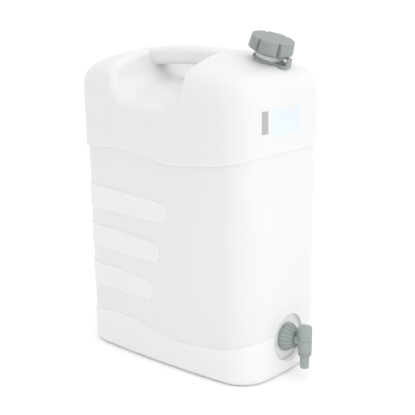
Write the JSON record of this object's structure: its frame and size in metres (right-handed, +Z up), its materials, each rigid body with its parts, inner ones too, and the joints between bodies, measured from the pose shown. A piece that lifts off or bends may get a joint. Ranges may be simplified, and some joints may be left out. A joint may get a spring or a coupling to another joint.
{
  "type": "carboy with spigot",
  "caption": "Upright moulded water carboy with a carrying handle, a screw cap on a captive strap and a turning spigot near its base.",
  "frame": {"origin": "middle of the container's flat base, on the surface it stands on", "axes": "+Z up, -Y towards the spigot, X across the narrow way"},
  "size_m": [0.2266, 0.4298, 0.556],
  "materials": {
    "milky_polyethylene": "milky, half translucent blow-moulded polyethylene with a soft satin sheen",
    "grey_polypropylene": "satin mid-grey injection-moulded polypropylene",
    "grey_strap": "satin mid-grey flexible polyethylene",
    "grey_spigot": "satin light-to-mid grey moulded plastic with softly rounded flutes",
    "white_plug": "smooth white low-friction plastic",
    "sealing_rubber": "matt dark soft sealing rubber"
  },
  "bodies": {
    "container": {"container": "milky_polyethylene", "spigot_gasket": "sealing_rubber", "spigot_stem": "grey_spigot", "union_nut": "grey_spigot", "spigot_body": "grey_spigot", "outlet_nozzle": "grey_spigot"},
    "strap": {"cap_strap": "grey_strap"},
    "cap": {"screw_cap": "grey_polypropylene", "cap_gasket": "sealing_rubber"},
    "tap": {"spigot_plug": "white_plug", "spigot_knob": "grey_spigot", "plug_ring_upper": "sealing_rubber", "plug_ring_lower": "sealing_rubber"}
  },
  "joints": [
    {"name": "cap_rise", "type": "slide", "parent": "container", "child": "strap", "axis": [0, -0.2924, 0.9563], "range_m": [0, 0.008]},
    {"name": "cap_turn", "type": "hinge", "parent": "strap", "child": "cap", "pos_m": [0, -0.147, 0.51064], "axis": [0, -0.2924, 0.9563], "range_deg": [0, 720]},
    {"name": "tap_turn", "type": "hinge", "parent": "container", "child": "tap", "pos_m": [0, -0.223, 0.063], "axis": [0, 0, 1], "range_deg": [0, 90]}
  ],
  "couplings": [
    {"joint": "cap_rise", "follows": "cap_turn", "m_per_rad": 0.00063662}
  ]
}
